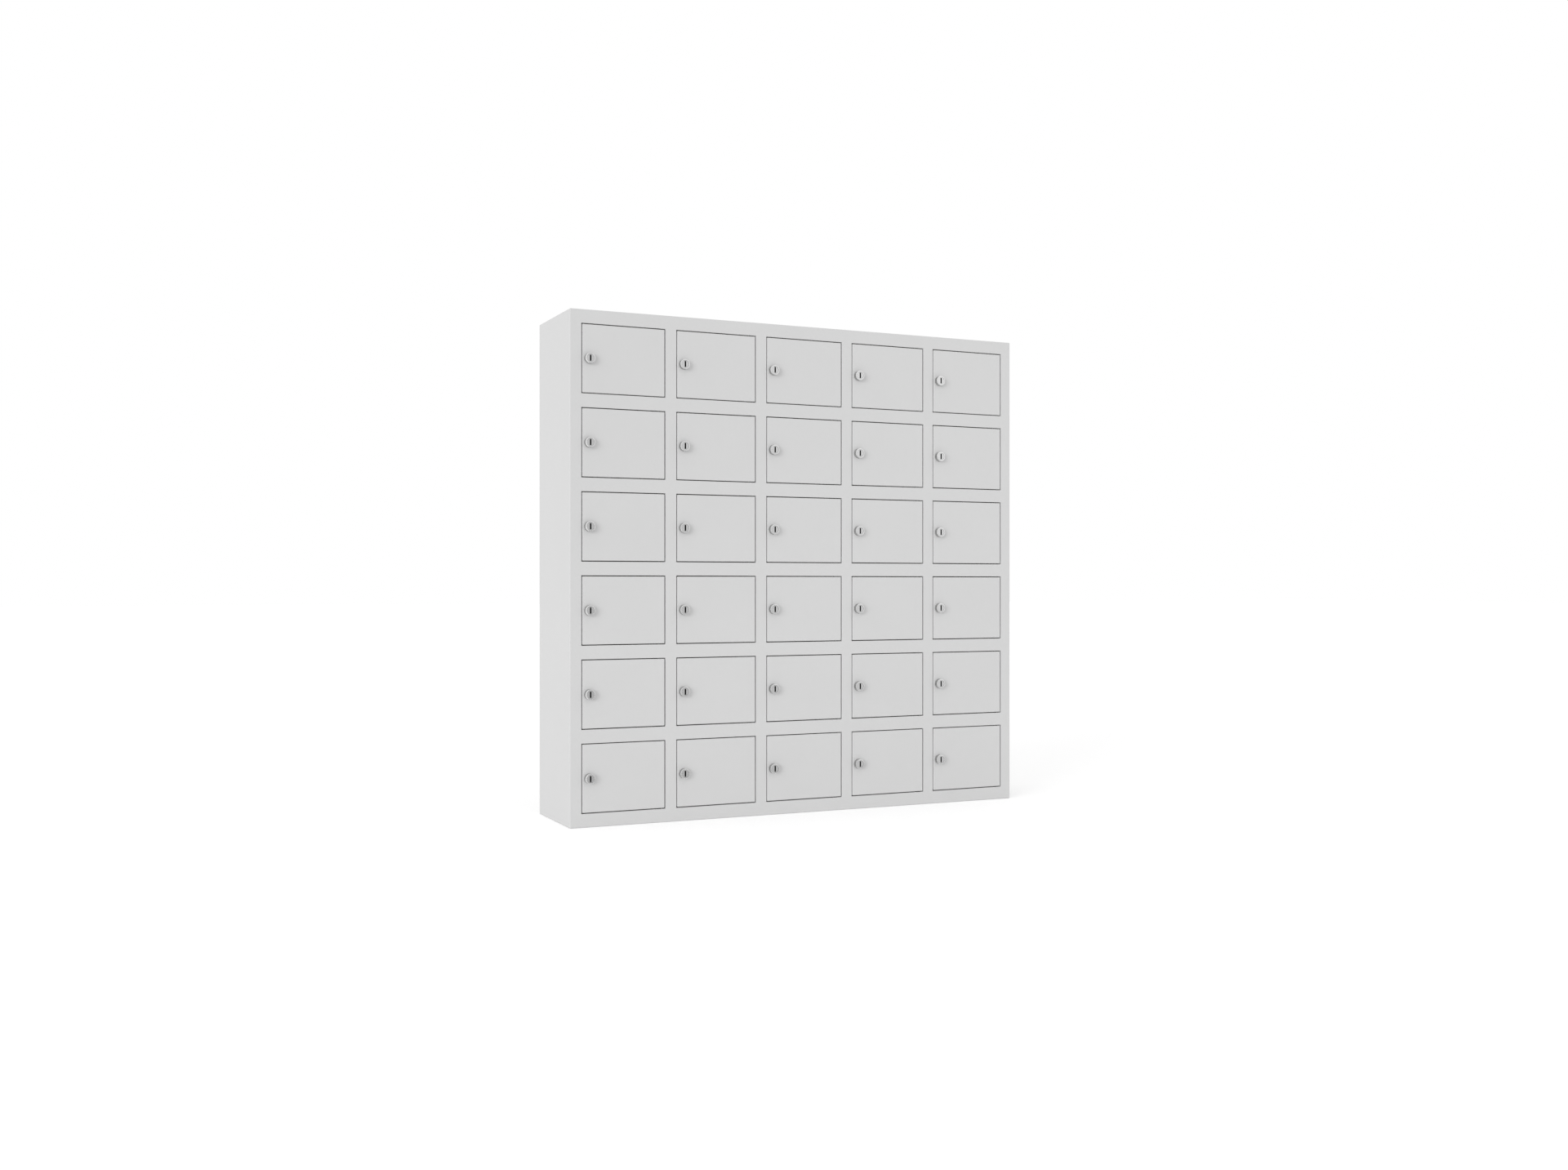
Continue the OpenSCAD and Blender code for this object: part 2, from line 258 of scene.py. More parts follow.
def upright_sheet(name, middle, width, height):
    """A flat sheet that faces the front."""
    return started(name, bpy.ops.mesh.primitive_plane_add, size=1, location=middle,
                   rotation=TIPPED_FORWARD, scale=(width, height, 1))


def apply_modifier(piece, kind, **settings):
    choose(piece)
    modifier = piece.modifiers.new(kind.title(), kind)
    for key, value in settings.items():
        setattr(modifier, key, value)
    bpy.ops.object.modifier_apply(modifier=modifier.name)


def thicken(piece):
    """Gives a folded surface the sheet's thickness, inwards."""
    apply_modifier(piece, "SOLIDIFY", thickness=SHEET, offset=-1, use_even_offset=True)


def break_edges(piece, width, angle=30):
    """Rounds the edges of a piece that are sharper than an angle in degrees."""
    apply_modifier(piece, "BEVEL", width=width, segments=2, limit_method="ANGLE",
                   angle_limit=math.radians(angle))


def combine(piece, other, operation):
    """Cuts a piece with another one or unites them: the other is used up."""
    apply_modifier(piece, "BOOLEAN", operation=operation, solver="EXACT", object=other)
    bpy.data.objects.remove(other)


def cut(piece, cutter):
    combine(piece, cutter, "DIFFERENCE")


def smooth(piece):
    """Smooth bends with flat faces between them."""
    choose(piece)
    bpy.ops.object.shade_smooth_by_angle(angle=math.radians(SMOOTH_DEGREES))
    apply_modifier(piece, "WEIGHTED_NORMAL", keep_sharp=True, weight=100)


def joined(name, pieces):
    bpy.ops.object.select_all(action="DESELECT")
    for piece in pieces:
        piece.select_set(True)
    bpy.context.view_layer.objects.active = pieces[0]
    bpy.ops.object.join()
    pieces[0].name = name
    return pieces[0]


def bar(name, start, end, radius, sides=48, axis=LOCK_AXIS):
    """A round bar along Y, from start to end on an axis: the lock's, if none is given."""
    centre = axis + Vector((0, (start + end) / 2, 0))
    return started(name, bpy.ops.mesh.primitive_cylinder_add, vertices=sides, radius=radius,
                   depth=end - start, location=centre, rotation=TIPPED_FORWARD)


def brick(name, low, high, origin=LOCK_AXIS):
    """A box between two corners, measured from an origin: the lock's, if none is given."""
    low, high = origin + Vector(low), origin + Vector(high)
    return started(name, bpy.ops.mesh.primitive_cube_add, size=1, location=(low + high) / 2,
                   scale=high - low)


def turned(name, section, steps, origin=LOCK_AXIS, axis=BACKWARDS):
    """Turns a section of (along, radius) points about an axis, as on a lathe.

    The axis is the lock's, if none is given. A section that starts off the axis closes itself."""
    axis = Vector(axis)
    out = Vector((1, 0, 0))
    points = [origin + axis * along + out * radius for along, radius in section]
    if section[0][1] > 0:
        points.append(points[0])
    piece = started(name, bpy.ops.mesh.primitive_plane_add, size=MM, location=points[0])
    with editing(piece):
        on_all(bpy.ops.mesh.merge, type="CENTER")
        for here, there in zip(points, points[1:]):
            extrude(there - here)
        on_all(bpy.ops.mesh.remove_doubles, threshold=MERGE_WITHIN)
        on_all(bpy.ops.mesh.spin, steps=steps, angle=2 * math.pi, center=origin, axis=axis)
        on_all(bpy.ops.mesh.remove_doubles, threshold=MERGE_WITHIN)
        on_all(bpy.ops.mesh.normals_make_consistent, inside=False)
    return piece


def copy_to(master, name, place):
    """A copy of the first door's piece at another door, with its own mesh."""
    piece = master.copy()
    piece.data = master.data.copy()
    piece.data.transform(Matrix.Translation(MIDDLES[place] - FIRST))
    piece.name = name
    piece.data.name = name
    bpy.context.collection.objects.link(piece)
    return piece


# ---------------------------------------------------------------- finishes

class Level:
    """A number in a finish: arithmetic on it adds Math nodes."""

    def __init__(self, finish, socket):
        self.finish = finish
        self.socket = socket

    def maths(self, operation, *others):
        return self.finish.node("ShaderNodeMath", {"operation": operation}, self, *others)

    def __add__(self, other):
        return self.maths("ADD", other)

    __radd__ = __add__

    def __sub__(self, other):
        return self.maths("SUBTRACT", other)

    def __mul__(self, other):
        return self.maths("MULTIPLY", other)

    def __pow__(self, other):
        return self.maths("POWER", other)

    def __lt__(self, other):
        return self.maths("LESS_THAN", other)

    def off_line(self, first, pitch):
        """How far off the nearest of a row of lines."""
        turn = (self - first) * (1 / pitch) + 0.5
        return (turn.maths("FRACT") - 0.5) * pitch


class Finish:
    """A material under construction."""

    def __init__(self, name, **constants):
        self.material = bpy.data.materials.new(name)
        self.material.use_nodes = True
        self.tree = self.material.node_tree
        self.shader = self.tree.nodes["Principled BSDF"]
        for key, value in constants.items():
            socket = key.replace("_", " ").title().replace("Ior", "IOR")
            self.shader.inputs[socket].default_value = value

    def node(self, kind, settings, *values, output=0, **named):
        """Adds a node, sets it up, then gives its sockets values or links."""
        made = self.tree.nodes.new(kind)
        for key, value in settings.items():
            setattr(made, key, value)
        named = {key.replace("_", " "): value for key, value in named.items()}
        for key, value in [*enumerate(values), *named.items()]:
            if isinstance(value, Level):
                self.tree.links.new(value.socket, made.inputs[key])
            else:
                made.inputs[key].default_value = value
        return Level(self, made.outputs[output])

    def drive(self, socket, level):
        self.tree.links.new(level.socket, self.shader.inputs[socket])

    def place(self):
        return self.node("ShaderNodeTexCoord", {}, output="Object")

    def along(self, axis):
        """The place along one axis, in metres."""
        return self.node("ShaderNodeSeparateXYZ", {}, self.place(), output=axis)

    def grain(self, size, detail=2.0):
        """Cloudy noise from 0 to 1 whose lumps are about the given size across."""
        return self.node("ShaderNodeTexNoise", {}, Vector=self.place(), Scale=1 / size,
                         Detail=detail)

    def tone(self, level, dark, light):
        """Colour between two greys, as the level goes from 0 to 1."""
        return self.node("ShaderNodeMix", {"data_type": "RGBA"}, level, output=2,
                         A=(*dark, 1), B=(*light, 1))

    def relief(self, height, depth):
        bump = self.node("ShaderNodeBump", {}, Strength=1.0, Distance=depth, Height=height)
        self.drive("Normal", bump)


def grey(value):
    return (value, value, value)


def spot_welds(finish):
    """1 in the dimples of the spot welds that hold the partitions and shelves to the back."""
    across = finish.along("X")
    up = finish.along("Z")
    column_pitch = MIDDLES[1, 2].x - MIDDLES[1, 1].x
    row_pitch = MIDDLES[1, 1].z - MIDDLES[2, 1].z
    first_partition = (MIDDLES[1, 1].x + MIDDLES[1, 2].x) / 2
    first_shelf = MIDDLES[ROWS, 1].z - OPENING_HALF_HEIGHT - 1.5 * SHEET
    on_partitions = (across.off_line(first_partition, column_pitch),
                     up.off_line(first_shelf + row_pitch / 4, row_pitch / 2),
                     across.maths("ABSOLUTE") < 2 * column_pitch)
    on_shelves = (across.off_line(first_partition + column_pitch / 6, column_pitch / 3),
                  up.off_line(first_shelf, row_pitch),
                  up < first_shelf + (ROWS - 0.5) * row_pitch)
    dimples = 0
    for off_x, off_z, inside in (on_partitions, on_shelves):
        off = (off_x * off_x + off_z * off_z) ** 0.5
        dimples = dimples + inside * finish.node(
            "ShaderNodeMapRange", {"interpolation_type": "SMOOTHSTEP"}, off, output="Result",
            From_Min=WELD_INSIDE, From_Max=WELD_OUTSIDE, To_Min=1.0, To_Max=0.0)
    return dimples


def powder_coat(name, welded=False):
    """Light neutral grey powder coat, satin, with fine orange peel and faint flow in its tone;
    when welded, the weld dimples are also painted darker, as painted shade in the dimples.
    """
    finish = Finish(name, specular_ior_level=0.4)
    clouds = finish.grain(90 * MM)
    specks = finish.grain(0.6 * MM)
    peel = finish.grain(1.6 * MM, detail=1.0)
    shade = 0.7 + clouds * 0.1 + specks * 0.06
    height = peel + specks * 0.25
    if welded:
        welds = spot_welds(finish)
        # Painted shade: the weld dimples are painted darker, on top of their real dip in the
        # relief.
        shade = shade - welds * 0.25
        height = height - welds * 10
    finish.drive("Base Color", finish.tone(shade, grey(0.5), grey(0.68)))
    finish.drive("Roughness", 0.42 + peel * 0.1 + clouds * 0.06)
    finish.relief(height, 0.02 * MM)
    return finish.material


def nickel(name, dark, light):
    """Bright nickel plate with the faint rings of turning, centred by the piece's own map."""
    finish = Finish(name, metallic=1.0)
    around = finish.node("ShaderNodeUVMap", {"uv_map": "lathe"})
    radius = finish.node("ShaderNodeVectorMath", {"operation": "LENGTH"}, around, output="Value")
    haze = finish.grain(1.5 * MM)
    rings = (radius * (2 * math.pi / TURNING_RINGS_MM)).maths("SINE") * 0.5 + 0.5
    finish.drive("Base Color", finish.tone(haze, grey(dark), grey(light)))
    finish.drive("Roughness", 0.2 + haze * 0.12)
    finish.relief(rings * 0.6 + haze * 0.4, 0.004 * MM)
    return finish.material


def shaded_satin_nickel():
    """The side of a lock's head, left as it was turned: a duller satin sheen than the face, and
    painted darker than the face as painted shade on the side of the head.
    """
    finish = Finish("shaded_satin_nickel", metallic=1.0)
    haze = finish.grain(0.8 * MM)
    finish.drive("Base Color", finish.tone(haze, grey(0.44), (0.54, 0.54, 0.535)))
    finish.drive("Roughness", 0.38 + haze * 0.14)
    finish.relief(haze, 0.01 * MM)
    return finish.material


def keyway_shade():
    """The inside of a key slot: near black, as painted shade for the depth of the slot."""
    finish = Finish("keyway_shade", metallic=0.5)
    film = finish.grain(0.7 * MM)
    finish.drive("Base Color", finish.tone(film, grey(0.02), grey(0.05)))
    finish.drive("Roughness", 0.4 + film * 0.2)
    finish.relief(film, 0.01 * MM)
    return finish.material


def zinc():
    """Zinc plate on pressed steel, cloudy and a little blue."""
    finish = Finish("zinc_plate", metallic=1.0)
    spangle = finish.grain(4 * MM, detail=3.0)
    grit = finish.grain(0.4 * MM)
    finish.drive("Base Color", finish.tone(spangle, (0.50, 0.51, 0.53), (0.66, 0.67, 0.68)))
    finish.drive("Roughness", 0.34 + spangle * 0.2)
    finish.relief(grit, 0.01 * MM)
    return finish.material


def nylon():
    """Black moulded nylon."""
    finish = Finish("nylon")
    haze = finish.grain(1.2 * MM)
    finish.drive("Base Color", finish.tone(haze, grey(0.025), grey(0.045)))
    finish.drive("Roughness", 0.45 + haze * 0.1)
    finish.relief(haze, 0.01 * MM)
    return finish.material


COAT = powder_coat("powder_coat")
WELDED_COAT = powder_coat("welded_coat", welded=True)
# The housing's nickel is painted lighter than the plug's: a painted highlight on the face and rim
# of each lock's head.
PLUG_NICKEL = nickel("plug_nickel", 0.66, 0.73)
LIT_RIM_NICKEL = nickel("rim_nickel_painted_highlight", 0.74, 0.81)
SHADED_SATIN_NICKEL = shaded_satin_nickel()
KEYWAY_SHADE = keyway_shade()
ZINC = zinc()
NYLON = nylon()


def coat(piece, material):
    piece.data.materials.clear()
    piece.data.materials.append(material)


def coat_faces(piece, material, test):
    """Another finish for the faces that pass a test of (middle from the lock's axis, normal)."""
    piece.data.materials.append(material)
    for face in piece.data.polygons:
        if test(face.center - LOCK_AXIS, face.normal):
            face.material_index = len(piece.data.materials) - 1


def map_lathe(piece):
    """Gives a turned piece a map whose middle is the lock's axis, in millimetres."""
    layer = piece.data.uv_layers.new(name="lathe")
    for loop in piece.data.loops:
        corner = piece.data.vertices[loop.vertex_index].co - LOCK_AXIS
        layer.data[loop.index].uv = (corner.x / MM, corner.z / MM)


# ---------------------------------------------------------------- case

def make_case():
    """The case's skin: one sheet folded round the openings, the sides and the back's edge."""
    centre = (CASE_LOW + CASE_HIGH) / 2
    case = upright_sheet("case_skin", (centre.x, FRONT_Y, centre.z),
                         CASE_HIGH.x - CASE_LOW.x, CASE_HIGH.z - CASE_LOW.z)
    lines_x = [MIDDLES[1, column].x + side * OPENING_HALF_WIDTH
               for column in range(1, COLUMNS + 1) for side in (-1, 1)]
    lines_z = [MIDDLES[row, 1].z + side * OPENING_HALF_HEIGHT
               for row in range(1, ROWS + 1) for side in (-1, 1)]

    def in_opening(at, face):
        return near(at.y, FRONT_Y) and any(
            abs(at.x - door.x) < OPENING_HALF_WIDTH and abs(at.z - door.z) < OPENING_HALF_HEIGHT
            for door in MIDDLES.values())

    def on_outer_corner(at, edge):
        on_side = near(at.x, CASE_LOW.x) or near(at.x, CASE_HIGH.x)
        on_end = near(at.z, CASE_LOW.z) or near(at.z, CASE_HIGH.z)
        in_front = near(at.y, FRONT_Y)
        return in_front and (on_side or on_end) or on_side and on_end and runs_along(edge, 1)

    def round_opening(at, edge):
        return near(at.y, FRONT_Y) and len(edge.link_faces) == 2 and \
            any(near(abs(face.normal.y), 0, 0.01) for face in edge.link_faces) and \
            CASE_LOW.x + 2 * CASE_BEND < at.x < CASE_HIGH.x - 2 * CASE_BEND and \
            CASE_LOW.z + 2 * CASE_BEND < at.z < CASE_HIGH.z - 2 * CASE_BEND

    with editing(case):
        for x in lines_x:
            on_all(bpy.ops.mesh.bisect, plane_co=(x, 0, 0), plane_no=(1, 0, 0))
        for z in lines_z:
            on_all(bpy.ops.mesh.bisect, plane_co=(0, 0, z), plane_no=(0, 0, 1))
        pick("EDGE", lambda at, edge: edge.is_boundary)
        extrude((0, BACK_Y - FRONT_Y, 0))
        pick("FACE", in_opening)
        extrude((0, FRAME_DEPTH, 0))
        bpy.ops.mesh.delete(type="FACE")
        on_all(bpy.ops.mesh.normals_make_consistent, inside=False)
        bend(on_outer_corner, CASE_BEND)
        bend(round_opening, OPENING_BEND, segments=3)
        on_all(bpy.ops.mesh.dissolve_limited, angle_limit=math.radians(FLAT_DEGREES))
    thicken(case)
    smooth(case)
    coat(case, COAT)
    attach(case, "cabinet")
    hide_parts("body_shell", "front_frame")


def make_back_sheet():
    """The back: a sheet let into the case's rear edge, drilled for the four wall bolts."""
    low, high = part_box("back_panel")
    sheet = brick("back_sheet", low, high, origin=Vector())
    with editing(sheet):
        bend(lambda at, edge: runs_along(edge, 1), CASE_BEND - SHEET, segments=3)
    bolts = next(mount for mount in frame["record"]["mounts"] if mount["kind"] == "bolt_pattern")
    dims = bolts["dims"]
    for side in (-1, 1):
        for end in (-1, 1):
            hole = Vector(bolts["pos_m"]) + Vector((side * dims["spacing_x_mm"] * MM / 2, 0,
                                                    end * dims["spacing_y_mm"] * MM / 2))
            cut(sheet, bar("bolt_hole", -3 * SHEET, 2 * SHEET, dims["hole_r_mm"] * MM, axis=hole))
    break_edges(sheet, BACK_EDGE, angle=FACET_DEGREES)
    smooth(sheet)
    coat(sheet, WELDED_COAT)
    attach(sheet, "cabinet")
    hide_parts("back_panel")


# ---------------------------------------------------------------- doors

def make_door_pan():
    """The first door's pan: one sheet with four folded edges, cut for its lock."""
    pan = upright_sheet("door_pan", FIRST, DOOR_WIDTH, DOOR_HEIGHT)
    with editing(pan):
        pick("EDGE", lambda at, edge: edge.is_boundary)
        extrude((0, DOOR_DEPTH, 0))
        on_all(bpy.ops.mesh.normals_make_consistent, inside=False)
        bend(lambda at, edge: not edge.is_boundary, DOOR_BEND)
    thicken(pan)
    cut(pan, bar("lock_hole", -SHEET, 2 * SHEET, BODY_RADIUS + SEAT_FIT))
    smooth(pan)
    coat(pan, COAT)
    return pan


def make_hinge_pins():
    """The first door's two pins, headed inside its folds."""
    reach = OPENING_HALF_HEIGHT + PIN_REACH
    seat = DOOR_HEIGHT / 2 - SHEET
    top = seat - PIN_HEAD_HEIGHT
    section = [(top, 0), (top, PIN_HEAD_RADIUS - PIN_EDGE), (top + PIN_EDGE, PIN_HEAD_RADIUS),
               (seat, PIN_HEAD_RADIUS), (seat, PIN_RADIUS), (reach - PIN_EDGE, PIN_RADIUS),
               (reach, PIN_RADIUS - PIN_EDGE), (reach, 0)]
    pins = joined("hinge_pins", [turned("pin", section, PIN_STEPS, HINGE_AXIS, (0, 0, side))
                                 for side in (-1, 1)])
    smooth(pins)
    coat(pins, ZINC)
    return pins


def make_lock_housing():
    """The first door's lock housing: a head with a rounded rim and a body with two flats."""
    bore = PLUG_RADIUS + TURN_FIT
    rear_bore = PLUG_REAR_RADIUS + TURN_FIT
    turns = [math.radians(90 / RIM_STEPS * step) for step in range(RIM_STEPS + 1)]
    rim = [(-LOCK_PROUD + RIM_DROP * (1 - math.cos(turn)),
            HEAD_RADIUS - RIM_WIDTH * (1 - math.sin(turn))) for turn in turns]
    section = [(-LOCK_PROUD + HEAD_LIP, bore), *rim, (0, HEAD_RADIUS), (0, BODY_RADIUS),
               (BODY_END, BODY_RADIUS), (BODY_END, rear_bore), (-PLUG_STEP, rear_bore),
               (-PLUG_STEP, bore)]
    housing = turned("lock_housing", section, LOCK_STEPS)
    for side in (-1, 1):
        near_x, far_x = sorted((side * BODY_FLATS / 2, side * 2 * BODY_RADIUS))
        cut(housing, brick("flat", (near_x, SEAT_FIT, -BODY_RADIUS - MM),
                           (far_x, BODY_END + MM, BODY_RADIUS + MM)))
    smooth(housing)
    # Painted highlight: the face and rim of the head get the lighter nickel.
    coat(housing, LIT_RIM_NICKEL)
    # Painted shade: the sides of the head get the darker nickel.
    coat_faces(housing, SHADED_SATIN_NICKEL,
               lambda at, normal: abs(normal.y) < SIDEWAYS and at.y > RIM_DROP - LOCK_PROUD)
    map_lathe(housing)
    return housing


def make_lock_nut():
    """The first door's lock nut, with its corners up and down."""
    start, end = SHEET + SEAT_FIT, SHEET + SEAT_FIT + NUT_HEIGHT
    nut = bar("lock_nut", start, end, NUT_FLATS / math.sqrt(3), sides=6)
    cut(nut, bar("thread", start - MM, end + MM, BODY_RADIUS + SEAT_FIT))
    break_edges(nut, NUT_EDGE, angle=FACET_DEGREES)
    smooth(nut)
    coat(nut, ZINC)
    return nut


def make_lock_plug():
    """The first lock's plug: stepped, slotted for the key and squared behind for the cam."""
    front = PLUG_RECESS - LOCK_PROUD
    step = -PLUG_STEP - SEAT_FIT
    shoulder = CAM_START - SEAT_FIT
    section = [(front, 0), (front, PLUG_RADIUS - PLUG_EDGE), (front + PLUG_EDGE, PLUG_RADIUS),
               (step, PLUG_RADIUS), (step, PLUG_REAR_RADIUS), (shoulder, PLUG_REAR_RADIUS),
               (shoulder, 0)]
    plug = turned("lock_plug", section, LOCK_STEPS)
    half_width, half_height = KEYWAY_WIDTH / 2, KEYWAY_HEIGHT / 2
    slot = brick("keyway", (-half_width, -LOCK_PROUD - MM, -half_height),
                 (half_width, KEYWAY_DEPTH - LOCK_PROUD, half_height))
    with editing(slot):
        bend(lambda at, edge: runs_along(edge, 1), KEYWAY_BEND)
    cut(plug, slot)
    mouth_x, mouth_z = half_width + 2 * KEYWAY_MOUTH, half_height + 2 * KEYWAY_MOUTH
    mouth = brick("mouth", (-mouth_x, front - KEYWAY_MOUTH, -mouth_z),
                  (mouth_x, front + KEYWAY_MOUTH, mouth_z))
    with editing(mouth):
        pick("FACE", lambda at, face: near(at.y, LOCK_AXIS.y + front + KEYWAY_MOUTH))
        bpy.ops.transform.resize(value=(half_width / mouth_x, 1, half_height / mouth_z))
    cut(plug, mouth)
    tang = brick("tang", (-TANG_WIDTH / 2, shoulder, -TANG_WIDTH / 2),
                 (TANG_WIDTH / 2, shoulder + CAM_THICKNESS, TANG_WIDTH / 2))
    break_edges(tang, TANG_EDGE)
    plug = joined("lock_plug", [plug, tang])
    smooth(plug)
    coat(plug, PLUG_NICKEL)
    # Painted shade: the key slot's inner faces get the near-black finish.
    coat_faces(plug, KEYWAY_SHADE,
               lambda at, normal: abs(at.x) < half_width + KEYWAY_MOUTH
               and abs(at.z) < half_height + KEYWAY_MOUTH
               and front + TOUCH < at.y < KEYWAY_DEPTH)
    map_lathe(plug)
    return plug


def make_cam():
    """The first lock's cam, hanging down, and the screw that holds it."""
    cam_end = CAM_START + CAM_THICKNESS
    arm = brick("cam", (-CAM_WIDTH / 2, CAM_START, -CAM_LENGTH), (CAM_WIDTH / 2, cam_end, 0))
    with editing(arm):
        bend(lambda at, edge: runs_along(edge, 1) and near(at.z, LOCK_AXIS.z - CAM_LENGTH),
             CAM_TIP_CUT)
    hub = bar("hub", CAM_START, cam_end, CAM_HUB_RADIUS)
    break_edges(arm, CAM_EDGE)
    break_edges(hub, CAM_EDGE)
    combine(arm, hub, "UNION")
    with editing(arm):
        on_all(bpy.ops.mesh.remove_doubles, threshold=CAM_MERGE_WITHIN)
    back = cam_end + SEAT_FIT
    rim = back + SCREW_FLANGE_HEIGHT
    top = rim + SCREW_HEAD_HEIGHT
    section = [(back, 0), (back, SCREW_FLANGE_RADIUS - SCREW_EDGE),
               (back + SCREW_EDGE, SCREW_FLANGE_RADIUS), (rim - SCREW_EDGE, SCREW_FLANGE_RADIUS),
               (rim, SCREW_FLANGE_RADIUS - SCREW_EDGE), (rim, SCREW_HEAD_RADIUS),
               (top - SCREW_EDGE, SCREW_HEAD_RADIUS), (top, SCREW_HEAD_RADIUS - SCREW_EDGE),
               (top, 0)]
    screw = turned("cam_screw", section, SCREW_STEPS)
    cross = brick("cross", (-CROSS_HALF_WIDTH, top - CROSS_DEPTH, -CROSS_HALF_WIDTH),
                  (CROSS_HALF_WIDTH, top + MM, CROSS_HALF_WIDTH))
    with editing(cross):
        for way in (Vector((1, 0, 0)), Vector((-1, 0, 0)), Vector((0, 0, 1)), Vector((0, 0, -1))):
            side = LOCK_AXIS + way * CROSS_HALF_WIDTH
            pick("FACE", lambda at, face: near(at.x, side.x) and near(at.z, side.z))
            extrude(way * (CROSS_REACH - CROSS_HALF_WIDTH))
    cut(screw, cross)
    cam = joined("lock_cam", [arm, screw])
    smooth(cam)
    coat(cam, ZINC)
    return cam


def fit_doors():
    """Copies the first door's pieces to every door and hangs them on their bodies."""
    of_door = {"door_pan": (make_door_pan(), "powder_coat"),
               "hinge_pins": (make_hinge_pins(), "nickel"),
               "lock_housing": (make_lock_housing(), "nickel"),
               "lock_nut": (make_lock_nut(), "nickel")}
    of_core = {"lock_plug": (make_lock_plug(), "nickel"), "lock_cam": (make_cam(), "nickel")}
    for place in PLACES:
        label = "r%dc%d" % place
        door = "door_" + label
        core = "lock_core_" + label if place[1] <= TURNING_COLUMNS else door
        for masters, body in ((of_door, door), (of_core, core)):
            for kind, (master, slot) in masters.items():
                piece = copy_to(master, kind + "_" + label, place)
                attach(piece, body)
                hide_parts(body)
    for master, _ in [*of_door.values(), *of_core.values()]:
        bpy.data.objects.remove(master)


# ---------------------------------------------------------------- studio

def seen_white(tree):
    """1 for the rays that see or mirror the white studio, 0 for those that light the object."""
    path = tree.nodes.new("ShaderNodeLightPath")
    either = tree.nodes.new("ShaderNodeMath")
    either.operation = "MAXIMUM"
    tree.links.new(path.outputs["Is Camera Ray"], either.inputs[0])
    tree.links.new(path.outputs["Is Glossy Ray"], either.inputs[1])
    return either.outputs[0]


def make_floor(tone, glow):
    """A pale floor that keeps the object's shadow and is lifted to white where it is seen."""
    floor = started("floor", bpy.ops.mesh.primitive_plane_add, size=FLOOR_SIZE,
                    location=(0, 0, CASE_LOW.z))
    finish = Finish("floor_white", base_color=(*grey(tone), 1), roughness=0.9,
                    specular_ior_level=0.0)
    tree = finish.tree
    plain = finish.shader.outputs[0]
    lift = tree.nodes.new("ShaderNodeEmission")
    lift.inputs["Strength"].default_value = glow
    lifted = tree.nodes.new("ShaderNodeAddShader")
    mix = tree.nodes.new("ShaderNodeMixShader")
    for source, socket in ((plain, lifted.inputs[0]), (lift.outputs[0], lifted.inputs[1]),
                           (seen_white(tree), mix.inputs[0]), (plain, mix.inputs[1]),
                           (lifted.outputs[0], mix.inputs[2]),
                           (mix.outputs[0], tree.nodes["Material Output"].inputs["Surface"])):
        tree.links.new(source, socket)
    coat(floor, finish.material)


def make_card(dark, light):
    """A graduated card in front of the doors, seen only in reflections.

    It gets darker towards its lower left and along the folds that run back under and over the
    doors."""
    card_y = FRONT_Y - CARD_AHEAD
    card = upright_sheet("graduated_card", (CARD_MIDDLE_X, card_y, CARD_MIDDLE_Z),
                         CARD_WIDTH, CARD_HEIGHT)
    with editing(card):
        for reach, end in ((CARD_FOLD_BELOW, -1), (CARD_FOLD_ABOVE, 1)):
            end_z = CARD_MIDDLE_Z + end * CARD_HEIGHT / 2
            pick("EDGE", lambda at, edge: near(at.z, end_z))
            extrude((0, reach, 0))
    finish = Finish("graduated_card", base_color=(0, 0, 0, 1), specular_ior_level=0.0)
    height = finish.along("X") * CARD_SLOPE_ACROSS + finish.along("Z")
    fold = finish.along("Y") - card_y
    ramp = finish.node("ShaderNodeMapRange", {}, height - fold * CARD_SLOPE_FOLD, output="Result",
                       From_Min=CARD_DARKEST, From_Max=CARD_LIGHTEST)
    finish.drive("Emission Color", finish.tone(ramp ** CARD_CURVE, grey(dark), grey(light)))
    finish.shader.inputs["Emission Strength"].default_value = 1.0
    coat(card, finish.material)
    card.visible_camera = False
    card.visible_diffuse = False
    card.visible_shadow = False
    card.visible_transmission = False


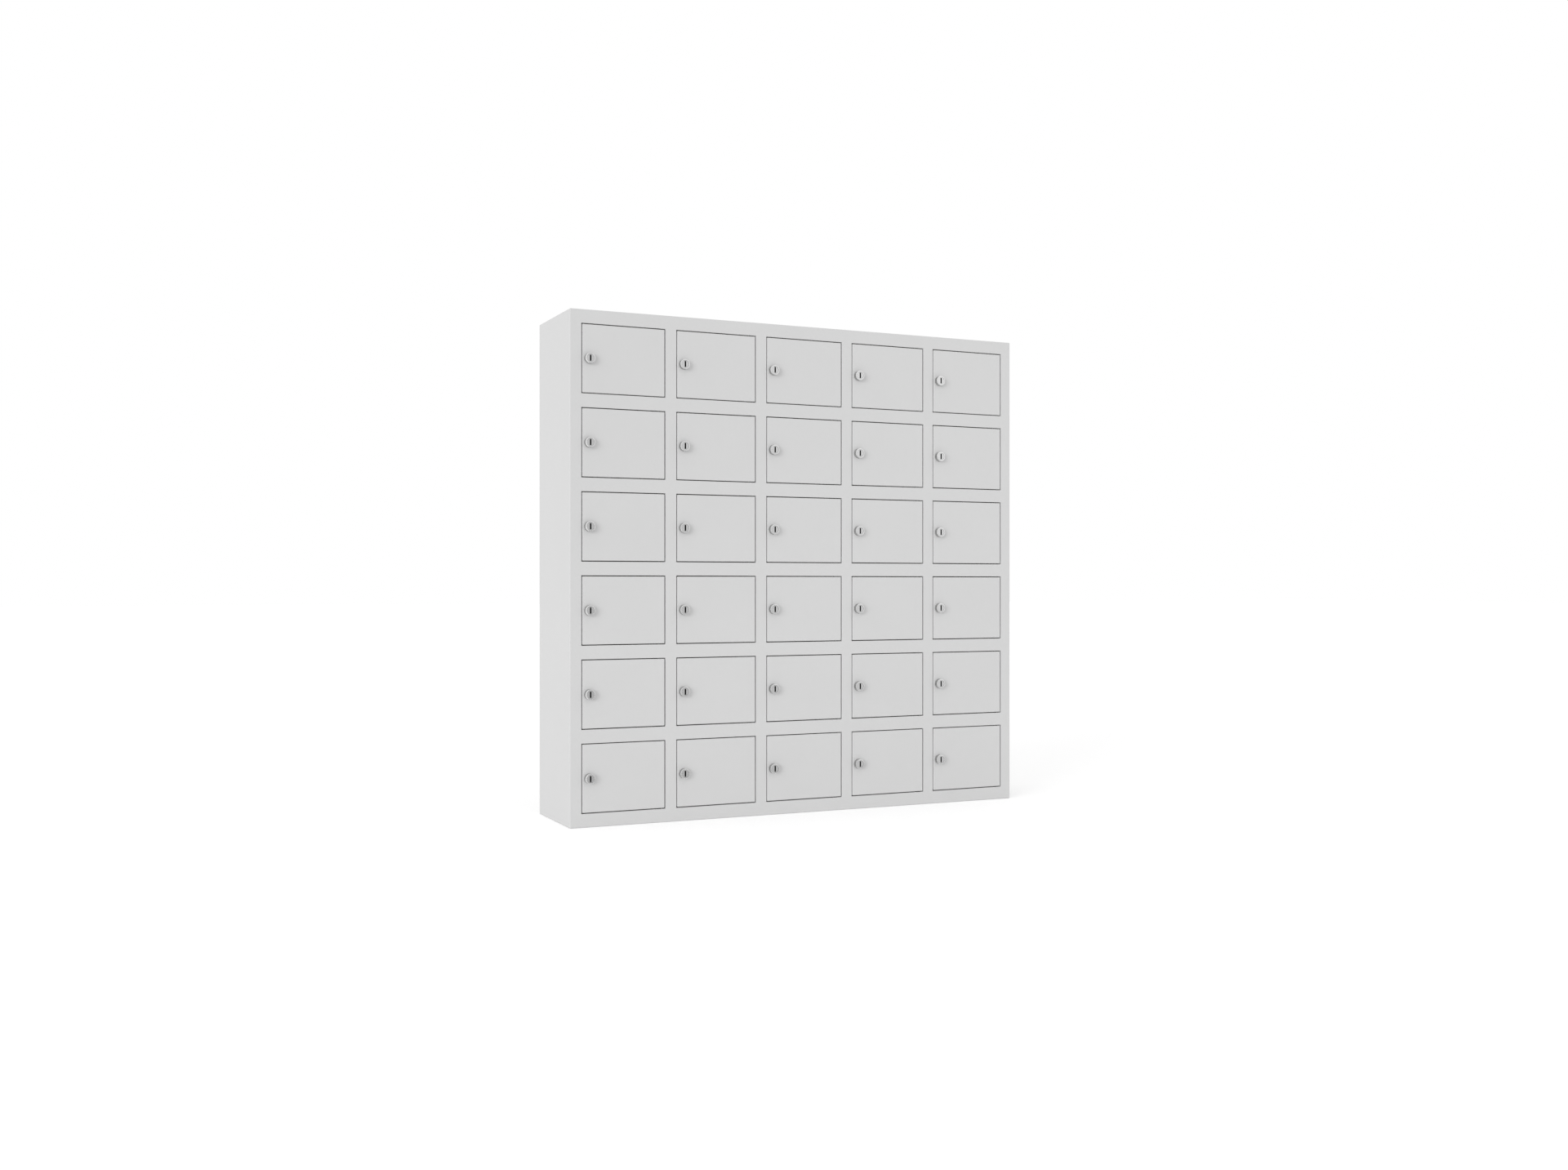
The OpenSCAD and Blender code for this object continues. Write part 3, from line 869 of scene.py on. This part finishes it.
def make_world(level):
    """Even light from all round, and plain white where it is seen or mirrored."""
    world = bpy.data.worlds.new("studio")
    world.use_nodes = True
    bpy.context.scene.world = world
    tree = world.node_tree
    background = tree.nodes["Background"]
    background.inputs["Color"].default_value = (1, 1, 1, 1)
    mix = tree.nodes.new("ShaderNodeMix")
    mix.inputs["A"].default_value = level
    mix.inputs["B"].default_value = 1.0
    tree.links.new(seen_white(tree), mix.inputs["Factor"])
    tree.links.new(mix.outputs["Result"], background.inputs["Strength"])


def hung_lamp(name, kind, energy, **settings):
    """A lamp that metal doesn't mirror: it mirrors the white studio and the card instead."""
    bpy.ops.object.light_add(type=kind, **settings)
    lamp = bpy.context.object
    lamp.name = name
    lamp.data.energy = energy
    lamp.visible_glossy = False
    return lamp


def make_sun(name, toward, level, spread):
    """A soft light from the given direction; a white surface that faces it shows the level."""
    lamp = hung_lamp(name, "SUN", level * math.pi)
    lamp.data.angle = math.radians(spread)
    lamp.rotation_euler = Vector(toward).to_track_quat("Z", "Y").to_euler()


def make_low_light(energy, place, width, height):
    """A long low lamp before the lower left doors, for the light that a bright floor throws up."""
    lamp = hung_lamp("low_light", "AREA", energy, location=place, rotation=TIPPED_FORWARD)
    lamp.data.shape = "RECTANGLE"
    lamp.data.size = width
    lamp.data.size_y = height
    lamp.visible_camera = False


def make_camera():
    bpy.ops.object.camera_add(location=CAMERA_PLACE, rotation=(math.pi / 2, 0, CAMERA_YAW))
    camera = bpy.context.object
    camera.data.lens = LENS_MM
    camera.data.sensor_width = SENSOR_MM
    bpy.context.scene.camera = camera


# ---------------------------------------------------------------- assembly

make_case()
make_back_sheet()
fit_doors()
for node in ("partitions", "shelves"):
    coat(frame["nodes"][node], COAT)
coat(frame["nodes"]["hinge_bushes"], NYLON)

make_floor(tone=0.92, glow=0.25)
make_card(dark=0.55, light=1.06)
make_world(level=0.81)
make_sun("key_light", toward=(-0.82, -0.54, 0.18), level=0.36, spread=30)
make_low_light(energy=0.28, place=(-0.35, FRONT_Y - 0.7, 0.15), width=1.2, height=0.1)
make_camera()
bpy.context.scene.view_settings.view_transform = "Standard"
